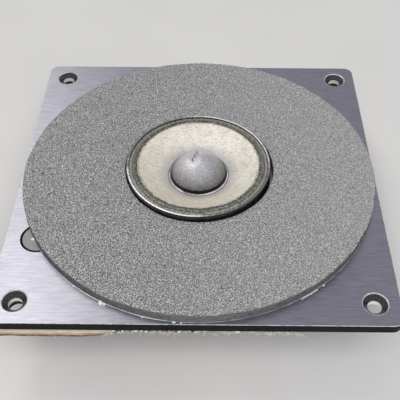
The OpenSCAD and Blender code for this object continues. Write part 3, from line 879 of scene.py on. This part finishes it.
def make_faceplate():
    steps = 4
    loops = []
    for k in range(steps + 1):
        bend = TURN / 4 * k / steps
        loops.append((PLATE_EDGE * (1 - math.sin(bend)), PLATE_BACK + PLATE_EDGE * (1 - math.cos(bend))))
    loops += [(inset, PLATE_FRONT + PLATE_BACK - height) for inset, height in reversed(loops)]
    rings = [plate_loop(inset, height) for inset, height in loops]
    materials = [brushed_anodising(), anodised_edge(), worn_edge(), bare_metal(), countersink_metal()]
    plate = piece("faceplate_brushed", *stacked(rings), materials, "anodised_plate",
                  stands_for=("faceplate",), rides=False)
    cut_plate(plate)
    finish_plate_faces(plate.data)
    shade(plate.data, 28)
    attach(plate, "chassis")


def cut_plate(plate):
    """Cuts the plate's opening, screw holes and badge pocket, and the blind holes behind it."""
    below, above = PLATE_BACK - 1, PLATE_FRONT + 1

    def eased(radius, foot, lip):
        wide = radius + lip
        return [(radius, foot), (radius, PLATE_FRONT - lip), (wide, PLATE_FRONT), (wide, above)]

    cut(plate, eased(OPENING_R, below, LIP), 192)
    screw_hole = [(HOLE_R + LIP, below), (HOLE_R + LIP, PLATE_BACK), (HOLE_R, PLATE_BACK + LIP),
                  (HOLE_R, PLATE_FRONT - (COUNTERSINK_R - HOLE_R)), (WORN_HIGHLIT_R, PLATE_FRONT - 0.22),
                  (COUNTERSINK_R, PLATE_FRONT - 0.06), (COUNTERSINK_R + LIP, PLATE_FRONT),
                  (COUNTERSINK_R + LIP, above)]
    for x, y in HOLES:
        cut(plate, screw_hole, 56, x, y)
    centre, badge_r = disc_mm("badge")
    cut(plate, eased(badge_r + 0.55, box_mm("badge")[0].z, LIP / 2), 72, *centre)
    blind_r, blind_depth, circle_r = 1.5, 2.2, 27
    for k in range(4):
        blind_hole = [(blind_r, below), (blind_r, PLATE_BACK + blind_depth)]
        cut(plate, blind_hole, 32, *around(circle_r, TURN * (k + 0.5) / 4))


def finish_plate_faces(mesh):
    """Gives each face of the plate its finish, in the order of the plate's materials."""
    brushed, side, worn_highlit, bare, sunk = range(5)
    touching = 0.001
    for face in mesh.polygons:
        centre = face.center / MM
        from_hole = math.hypot(abs(centre.x) - HOLE_AT, abs(centre.y) - HOLE_AT)
        from_edge = PLATE_HALF - max(abs(centre.x), abs(centre.y))
        flat = abs(face.normal.z) > 0.98
        outside = min(PLATE_FRONT - centre.z, centre.z - PLATE_BACK) < touching
        if from_hole < COUNTERSINK_R + 2 * LIP and not (flat and abs(centre.z - PLATE_FRONT) < touching):
            face.material_index = bare if from_hole < HOLE_R + 0.05 else sunk
            # The countersink's outer rim: worn metal, painted white as a highlight as well
            if from_hole > WORN_HIGHLIT_R:
                face.material_index = worn_highlit
        elif flat and outside:
            face.material_index = brushed
        # The rounded front edge: worn metal, painted white as a highlight as well
        elif centre.z > PLATE_FRONT - PLATE_EDGE and 0.2 < face.normal.z and from_edge < 1:
            face.material_index = worn_highlit
        else:
            face.material_index = side


def make_badge():
    low, high = box_mm("badge")
    centre, radius = disc_mm("badge")
    section = [(0, low.z), (radius - 0.1, low.z), (radius, low.z + 0.1), (radius, high.z - 0.14),
               (radius - 0.05, high.z - 0.04), (radius - 0.16, high.z), (radius - 0.5, high.z - 0.03),
               (radius * 0.5, high.z - 0.05), (0, high.z - 0.05)]
    disc = shifted(lathe(section, 96), *centre)
    piece("badge_disc", *disc, [badge_satin()], "badge_metal", stands_for=("badge",), sharp=30)


# ---------------------------------------------------------------- foam, its adhesive and the gasket

def foam_section(foot, top):
    """Rows of the foam's section, up the hole's wall, over the top, down the rim and back underneath.
    Each row has its place, its distance in from that wall or its share of the way across, and its height."""
    across = 52
    walls_top = top - FOAM_CORNER
    wall = [(0.0, foot + (walls_top - foot) * k / 5) for k in range(6)]
    for bend in (30, 60, 90):
        turn = math.radians(bend)
        wall.append((FOAM_CORNER * (1 - math.cos(turn)), walls_top + FOAM_CORNER * math.sin(turn)))
    rows = [("hole", *row) for row in wall]
    rows += [("top", k / across, top) for k in range(1, across)]
    rows += [("rim", *row) for row in reversed(wall)]
    return rows + [("under", share, foot) for share in (0.66, 0.33)]


def make_foam():
    low, high = box_mm("foam_ring")
    centre, radius = disc_mm("foam_ring")
    turns = 560
    walls_top = high.z - FOAM_CORNER
    rows = foam_section(low.z, high.z)
    grain = random.Random(11)
    points = []
    for i in range(turns):
        way = Vector(around(1, TURN * i / turns))
        inner, outer = FOAM_HOLE_CENTRE + way * FOAM_HOLE_R, centre + way * radius
        for kind, amount, height in rows:
            if kind == "hole":
                at = inner + way * amount
            elif kind == "rim":
                at = outer - way * amount
            else:
                reach = FOAM_CORNER if kind == "top" else 0
                at = (inner + way * reach).lerp(outer - way * reach, amount)
            spot = Vector((at.x, at.y, height))
            if kind in ("hole", "rim") and height > low.z:
                side = 1 if kind == "rim" else -1
                drag = noise.noise(spot / 0.9) * 0.1 + noise.noise(spot / 7) * 0.14
                at = at + way * side * (drag + grain.uniform(-0.03, 0.03) - 0.1)
            if height > walls_top:
                height += noise.noise(spot / 1.1) * 0.05 + noise.noise(spot / 9) * 0.05
                height += grain.uniform(-0.035, 0.035) - 0.05
            points.append((at.x, at.y, height))
    foam = piece("foam_disc", points, wrapped(turns, len(rows)), [open_cell_foam(), foam_cut()], "grey_foam",
                 stands_for=("foam_ring",), sharp=80)
    for face in foam.data.polygons:
        face.material_index = 0 if face.center.z / MM > walls_top + FOAM_CORNER * 0.55 else 1


def make_foam_adhesive():
    """Film under the foam that creeps past its edge at the front, with a few lumps."""
    low, high = box_mm("foam_adhesive")
    centre, radius = disc_mm("foam_adhesive")
    turns = 360
    points = []
    for i in range(turns):
        way = Vector(around(1, TURN * i / turns))
        ooze = max(0, noise.noise(Vector((way.x * 3.1, way.y * 3.1, 2.5))) + 0.25) * 0.9 * max(0, -way.y) ** 7
        ooze += noise.noise(Vector((way.x * 40, way.y * 40, 0))) * 0.06
        edge = centre + way * (radius + ooze)
        inner = FOAM_HOLE_CENTRE + way * (FOAM_HOLE_R + 0.05)
        section = [(inner, low.z), (inner, high.z), (edge - way * 0.1, high.z), (edge, low.z + 0.03),
                   (edge, low.z)]
        points += [(at.x, at.y, height) for at, height in section]
    faces = wrapped(turns, len(section))
    lumps = random.Random(5)
    # Lumps as (direction in degrees, size), then a row of beads
    drops = [(-118, 0.62), (-116.8, 0.42), (-96, 0.3), (-94, 0.22), (-128, 0.3), (-105, 0.25), (-50.5, 0.22),
             (-150.6, 0.5)]
    drops += [(-58.6 + 0.55 * k, 0.18) for k in range(11)]
    for degrees, size in drops:
        way = Vector(around(1, math.radians(degrees)))
        add_lump(points, faces, centre + way * (radius + 0.2), low.z, size, lumps)
    piece("foam_adhesive_film", points, faces, [dried_adhesive()], "clear_adhesive",
          stands_for=("foam_adhesive",), sharp=50)


def spun(x, y, turn):
    """The point x, y turned about the origin."""
    return x * math.cos(turn) - y * math.sin(turn), x * math.sin(turn) + y * math.cos(turn)


def add_lump(points, faces, at, height, size, chance):
    """Low irregular drop of dried adhesive on a flat face."""
    first, rings, sides = len(points), 4, 12
    tall = size * 0.7
    stretch = chance.uniform(1.0, 1.8)
    turn = chance.uniform(0, TURN)
    for ring in range(rings):
        rise = TURN / 4 * ring / rings
        for k in range(sides):
            out = size * math.cos(rise) * (1 + chance.uniform(-0.12, 0.12))
            x, y = around(out, TURN * k / sides)
            x, y = spun(x * stretch, y, turn)
            points.append((at.x + x, at.y + y, height + tall * math.sin(rise)))
    points.append((at.x, at.y, height + tall))
    faces += walls(first, rings, sides)
    top, last = len(points) - 1, first + (rings - 1) * sides
    faces += [(last + k, last + (k + 1) % sides, top) for k in range(sides)]
    faces.append(tuple(first + k for k in range(sides))[::-1])


def gasket_path(half):
    """Points along the gasket's outer edge, each with its way out, clockwise from its torn front end."""
    step, end_y, arc_steps = 0.55, -30, 6
    corners = [(TORN_TO, -half), (-half, -half), (-half, half), (half, half), (half, end_y)]
    corners = [Vector(at) for at in corners]
    path = []
    for i, (a, b) in enumerate(zip(corners, corners[1:])):
        turns_after = i < len(corners) - 2
        way = (b - a).normalized()
        start = a + way * (PLATE_CORNER_R if i > 0 else 0)
        end = b - way * (PLATE_CORNER_R if turns_after else 0)
        out = Vector((-way.y, way.x))
        count = int((end - start).length / step)
        path += [(start.lerp(end, k / count), out) for k in range(count + 1)]
        if turns_after:
            pivot = end - out * PLATE_CORNER_R
            ways = [Vector(spun(*out, -TURN / 4 * k / arc_steps)) for k in range(1, arc_steps)]
            path += [(pivot + way * PLATE_CORNER_R, way) for way in ways]
    return path


def gasket_slice(at, out, half, low, high):
    """Points of one cut through the band: down its rim, in along its underside, and up to the plate."""
    full = high - low
    thick, ragged, proud = full, 0.06, 0
    if at.y < -half + 0.6:
        left = min(max((TORN_FROM + 6 - at.x) / 12, 0), 1)
        right = min(max((TORN_TO - at.x) / 26, 0), 1)
        lumps = max(0, noise.noise(Vector((at.x / 2.6, 1.7, 0)))) * 0.9
        thick = TORN_SKIN * (0.7 + lumps) * (1 - left) + full * (1.12 + lumps * 0.2) * left
        thick = max(0.12, thick * (0.2 + 0.8 * right))
        ragged = 0.12 + 0.3 * (1 - left)
        proud = GASKET_PROUD * left + GASKET_PROUD * (0.35 + lumps) * (1 - left) * right
    wave = noise.noise(Vector((at.x / 9, at.y / 9, 4))) * 0.18
    points = []
    rim_rows, under_rows = 5, 7
    for k in range(rim_rows):
        share = k / (rim_rows - 1)
        spot = Vector((at.x, at.y, high - thick * share))
        fray = noise.noise(spot / 0.7) * ragged + noise.noise(spot / 2.4) * ragged
        rim = at - out * (0.15 - fray + 0.25 * share * share - proud * (1 + 0.4 * share)) + out * wave * 0.3
        points.append((rim.x, rim.y, high - thick * share + (fray * 0.4 if k else 0)))
    inner = Vector([min(max(c, GASKET_BAND - half), half - GASKET_BAND) for c in at])
    for k in range(1, under_rows):
        spot = (at - out * 0.4).lerp(inner, k / under_rows)
        rough = noise.noise(Vector((spot.x, spot.y, 0)) / 0.8) * ragged * 0.6
        points.append((spot.x, spot.y, max(high - thick + rough, low - 0.4)))
    return points + [(inner.x, inner.y, high - min(thick, full) * 0.9), (inner.x, inner.y, high)]


def make_gasket():
    """Fibre band behind the plate. Its front has split to a thin skin and its right front corner is gone."""
    low, high = box_mm("mounting_gasket")
    half = high.x
    slices = [gasket_slice(at, out, half, low.z, high.z) for at, out in gasket_path(half)]
    points = [point for cut_through in slices for point in cut_through]
    count, total = len(slices[0]), len(points)
    ends = [tuple(range(count)), tuple(range(total - count, total))[::-1]]
    gasket = piece("gasket_band", points, wrapped(len(slices), count, closed=False) + ends, [fibre_gasket()],
                   "gasket_fibre", stands_for=("mounting_gasket",), sharp=60, rides=False)
    hole = [(HOLE_R + 0.5, low.z - 1), (HOLE_R + 0.5, high.z + 1)]
    for x, y in HOLES:
        if x < 0 or y > 0:
            cut(gasket, hole, 40, x, y, ragged=True)
    shade(gasket.data, 60)
    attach(gasket, "chassis")


def make_gasket_fibres():
    """Loose fibres along the gasket's torn front."""
    low, high = box_mm("mounting_gasket")
    half = high.x
    chance = random.Random(3)
    points, faces = [], []
    for _ in range(300):
        x = chance.uniform(-half + 2, TORN_TO - 1)
        if x < TORN_FROM and chance.random() < 0.55:
            continue
        deep = high.z - low.z if x < TORN_FROM else TORN_SKIN * 0.6
        start = Vector((x, -half - chance.uniform(0, 0.6), high.z - deep * chance.uniform(0.4, 1.0)))
        heading = Vector((chance.uniform(-1, 1), chance.uniform(-0.5, 0.25), chance.uniform(-0.35, 0.1)))
        add_fibre(points, faces, start, heading.normalized(), chance.uniform(0.5, 2.0), 0.09, chance)
    piece("gasket_fibres", points, faces, [torn_fibre()], "gasket_fibre", sharp=80)


def add_fibre(points, faces, start, heading, length, radius, chance):
    """Thin curved fibre that tapers to its free end."""
    first, rings, sides = len(points), 4, 4
    bend = Vector((chance.uniform(-1, 1), chance.uniform(-0.4, 0.4), chance.uniform(-0.6, 0.6)))
    bend *= length * 0.3
    side = heading.cross(Vector((0, 0, 1))).normalized()
    up = side.cross(heading)
    for ring in range(rings):
        share = ring / (rings - 1)
        middle = start + heading * length * share + bend * share * share
        thick = radius * (1 - 0.7 * share)
        for k in range(sides):
            along_side, along_up = around(1, TURN * k / sides)
            points.append(tuple(middle + (side * along_side + up * along_up) * thick))
    faces += walls(first, rings, sides)
    faces.append(tuple(first + k for k in range(sides))[::-1])
    faces.append(tuple(first + (rings - 1) * sides + k for k in range(sides)))


# ---------------------------------------------------------------- ring, surround, cone and cap

def make_front_ring():
    inner = 20.9
    skirt_inner = BASKET_R + 0.02
    seat = LIP_Z + CLOTH_THICK
    rim_r, rim_half, rim_deep = RING_R - 0.42, 0.27, 0.12
    outline = rounded([(skirt_inner, RING_LOW), (RING_R, RING_LOW), (RING_R, RING_TOP), (inner, RING_TOP),
                       (inner, seat), (skirt_inner, seat)], 0.36, 6)

    def uneven(angle, radius, height):
        return radius + wobble(angle, radius, height, 6, 0.03), height

    ring = piece("front_ring_gloss", *lathe(outline, 256, uneven), [gloss_black(), rubbed_rim()],
                 "black_gloss", stands_for=("front_ring",), sharp=50)
    # Faces on top of the ring take the worn rim, which also carries a painted highlight
    for face in ring.data.polygons:
        rim = face.center / MM
        worn_and_highlit = rim.z > RING_TOP - rim_deep and abs(math.hypot(rim.x, rim.y) - rim_r) < rim_half
        face.material_index = 1 if worn_and_highlit else 0


def cone_height(radius):
    share = max((radius - LAND_R) / (CONE_VISIBLE_R - LAND_R), 0)
    return NECK_Z + (CONE_EDGE_Z - NECK_Z) * share ** 1.08


def make_cone():
    steps = 26
    flare = [LAND_R + (CONE_VISIBLE_R - LAND_R) * k / steps for k in range(steps + 1)]
    neck_r = FORMER_R + CONE_THICK
    neck_low = box_mm("cone")[0].z
    under = [(FORMER_R, neck_low), (neck_r, neck_low), (neck_r, NECK_Z - CONE_THICK - 0.1)]
    under += [(r, cone_height(r) - CONE_THICK) for r in flare]
    under += [(CONE_R - 0.08, CONE_EDGE_Z - CONE_THICK), (CONE_R, CONE_EDGE_Z - CONE_THICK + 0.08)]
    front = [(CONE_R, CONE_EDGE_Z - 0.06), (CONE_R - 0.08, CONE_EDGE_Z)]
    front += [(r, cone_height(r)) for r in reversed(flare)]

    def uneven(angle, radius, height):
        if LAND_R + 0.3 < radius < CONE_VISIBLE_R - 0.3:
            height += wobble(angle, radius, 0, 2.6, 0.035) + wobble(angle, radius, 0, 8, 0.05)
        return radius, height

    section = under + front + [(FORMER_R, NECK_Z)]
    piece("cone_pulp", *lathe(section, 256, uneven), [cone_paper()], "cone_paper",
          body="moving_cone", stands_for=("cone",), sharp=50)


def make_dust_cap():
    """Dome with a small crease pressed in near its top."""
    thick = 0.3
    skirt = 0.35
    rise = CAP_TOP - NECK_Z - skirt
    sphere_r = (CAP_R * CAP_R + rise * rise) / (2 * rise)
    middle = CAP_TOP - sphere_r
    steps = 40
    widest = math.asin(min(CAP_R / sphere_r, 1))
    arc = [widest * k / steps for k in range(steps + 1)]
    outside = [(sphere_r * math.sin(a), middle + sphere_r * math.cos(a)) for a in reversed(arc)]
    inside = [((sphere_r - thick) * math.sin(a), middle + (sphere_r - thick) * math.cos(a)) for a in arc]
    outline = [(CAP_R - thick, NECK_Z), (CAP_R, NECK_Z)] + outside + inside
    crease = [(-0.5, 5.2), (-0.15, 4.2), (-0.5, 3.2), (-1.25, 2.3), (-1.05, 1.4), (-1.75, 0.4), (-1.6, -0.6)]
    crease = [Vector(at) for at in crease]
    folds = list(zip(crease, crease[1:])) + [(crease[2], Vector((0.45, 2.3)))]

    def dented(angle, radius, height):
        at = Vector(around(radius, angle))
        if height > NECK_Z + 1:
            near = min(distance_to_line(at, start, end) for start, end in folds)
            height -= 0.42 * math.exp(-(near / 0.24) ** 2)
            height += 0.12 * math.exp(-((near - 0.6) / 0.3) ** 2)
            height += wobble(angle, radius, 0, 2.2, 0.06) + wobble(angle, radius, 0, 5, 0.06)
            height = min(height, CAP_TOP)
        return radius, height

    dome = piece("dust_cap_dome", *lathe(outline, 192, dented), [cap_paper(), creased_paper()], "cap_paper",
                 body="moving_cone", stands_for=("dust_cap",), sharp=60)
    # Faces along the crease take the darker material, painted shade
    for face in dome.data.polygons:
        at = face.center.xy / MM
        near = min(distance_to_line(at, start, end) for start, end in folds)
        face.material_index = 1 if near < 0.13 + 0.1 * noise.noise(face.center / MM) else 0


def distance_to_line(at, start, end):
    way = end - start
    share = min(max((at - start).dot(way) / way.length_squared, 0), 1)
    return (at - start - way * share).length


def make_bead():
    """Glossy bead of cement round the cap's foot."""
    size = outer_radius("cap_adhesive") - CAP_R
    steps = 8
    arc = [around(size, TURN / 4 * k / steps) for k in range(steps + 1)]
    section = [(CAP_R, NECK_Z)] + [(CAP_R + out, NECK_Z + up) for out, up in arc]

    def uneven(angle, radius, height):
        grow = 1 + wobble(angle, 8.6, 0, 2.4, 0.5)
        return CAP_R + (radius - CAP_R) * min(grow, 1.15), NECK_Z + (height - NECK_Z) * min(grow, 1.15)

    piece("cap_bead", *lathe(section, 240, uneven), [bead_adhesive()], "clear_adhesive",
          body="moving_cone", stands_for=("cap_adhesive",), sharp=60)


def bend_radially(sheet):
    """Bakes the piece's placement into its mesh."""
    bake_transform(sheet)


def make_surround():
    """Doped cloth roll between the cone and the ring."""
    steps = 28
    under = [(CONE_VISIBLE_R, CONE_EDGE_Z), (CONE_R - 0.15, CONE_EDGE_Z)]
    for k in range(steps + 1):
        share = k / steps
        radius = CONE_R + (LIP_INNER_R - CONE_R) * share
        roll = 0.4 * math.sin(math.pi * share)
        under.append((radius, CONE_EDGE_Z + (LIP_Z - CONE_EDGE_Z) * share + roll))
    under.append((SURROUND_R, LIP_Z))

    def uneven(angle, radius, height):
        if CONE_R < radius < LIP_INNER_R:
            height += wobble(angle, radius, 0, 3.5, 0.04)
        return radius, height

    cloth = piece("surround_cloth", *lathe(sheet_outline(under, CLOTH_THICK), 256, uneven), [doped_cloth()],
                  "doped_cloth", stands_for=("surround",), sharp=60, rides=False)
    bend_radially(cloth)


def make_spider():
    steps = 60
    collar, waves_end, flange = 8.9, 13.9, 18
    under = [(FORMER_R, LEDGE_Z)]
    for k in range(steps + 1):
        share = k / steps
        wave = 0.4 * math.sin(TURN * 2.5 * share) * math.sin(math.pi * share)
        under.append((collar + (waves_end - collar) * share, LEDGE_Z + wave))
    under.append((flange, LEDGE_Z))
    cloth = piece("spider_cloth", *lathe(sheet_outline(under, SPIDER_THICK), 192), [treated_cotton()],
                  "spider_cloth", stands_for=("spider",), sharp=60, rides=False)
    bend_radially(cloth)


def make_winding():
    """Two layers of fine wire wound side by side on the former."""
    low, high = box_mm("voice_coil")
    turns = 24
    pitch = (high.z - low.z) / turns
    outer = outer_radius("voice_coil")
    wire = pitch / 2
    outline = [(FORMER_R, low.z)]
    for k in range(turns):
        middle = low.z + pitch * (k + 0.5)
        for bend in (-70, -35, 0, 35, 70):
            out, up = around(wire, math.radians(bend))
            outline.append((outer - wire + out, middle + up))
    outline.append((FORMER_R, high.z))
    piece("voice_coil_winding", *lathe(outline, 128), [enamelled_copper()], "copper_wire",
          body="moving_cone", stands_for=("voice_coil",), sharp=80)


def make_leads():
    """Tinsel leads that run between their anchors on the cone and their soldered ends."""
    for name in ("tinsel_lead_positive", "tinsel_lead_negative"):
        mesh, edit = cad_copy(name)
        edit.to_mesh(mesh)
        edit.free()
        lead = dress(name + "_braid", mesh, [tinsel_braid()], "chassis", (name,), 60, rides=False)
        bend_radially(lead)


# ---------------------------------------------------------------- motor, basket and terminals

def make_back():
    steel, zinc = turned_steel(), passivated_zinc()
    paint, brass = black_paint(), tinned_brass()
    for name, node, width, material, slot in (
        ("basket_pressing", "basket", 0.12, paint, "black_paint"),
        ("mounting_collar", "mounting_ring", 0.15, paint, "black_paint"),
        ("frame_screws_pan", "frame_screws", 0.1, zinc, "zinc_steel"),
        ("basket_rivets_rolled", "basket_rivets", 0.08, zinc, "zinc_steel"),
        ("top_plate_turned", "top_plate", 0.25, steel, "plated_steel"),
        ("magnet_ferrite", "magnet", 0.18, ground_ferrite(), "ferrite"),
        ("back_plate_turned", "back_plate", 0.4, steel, "plated_steel"),
        ("pole_piece_turned", "pole_piece", 0.12, steel, "plated_steel"),
        ("pole_felt_disc", "pole_felt", 0.2, grey_felt(), "grey_felt"),
        ("terminal_board_laminate", "terminal_board", 0.1, phenolic_board(), "brown_laminate"),
        ("board_rivets_rolled", "board_rivets", 0.08, zinc, "zinc_steel"),
        ("terminal_tag_plus", "terminal_tag_positive", 0.06, brass, "tinned_brass"),
        ("terminal_tag_minus", "terminal_tag_negative", 0.06, brass, "tinned_brass"),
        ("tag_rivets_rolled", "tag_rivets", 0.08, zinc, "zinc_steel"),
        ("lead_sleeves_varnished", "lead_sleeves", 0.05, varnished_cotton(), "varnished_sleeve"),
    ):
        copied(name, node, width, material)
    copied("coil_former_tube", "coil_former", 0.04, kraft_paper(), body="moving_cone")
    copied("lead_anchor_cement", "lead_anchors", 0.3, dark_cement(), body="moving_cone")
    copied("solder_drops", "solder_joints", 0.1, bright_solder())


make_camera()
make_studio()
make_faceplate()
make_badge()
make_foam()
make_foam_adhesive()
make_gasket()
make_gasket_fibres()
make_front_ring()
make_surround()
make_cone()
make_dust_cap()
make_bead()
make_spider()
make_winding()
make_leads()
make_back()
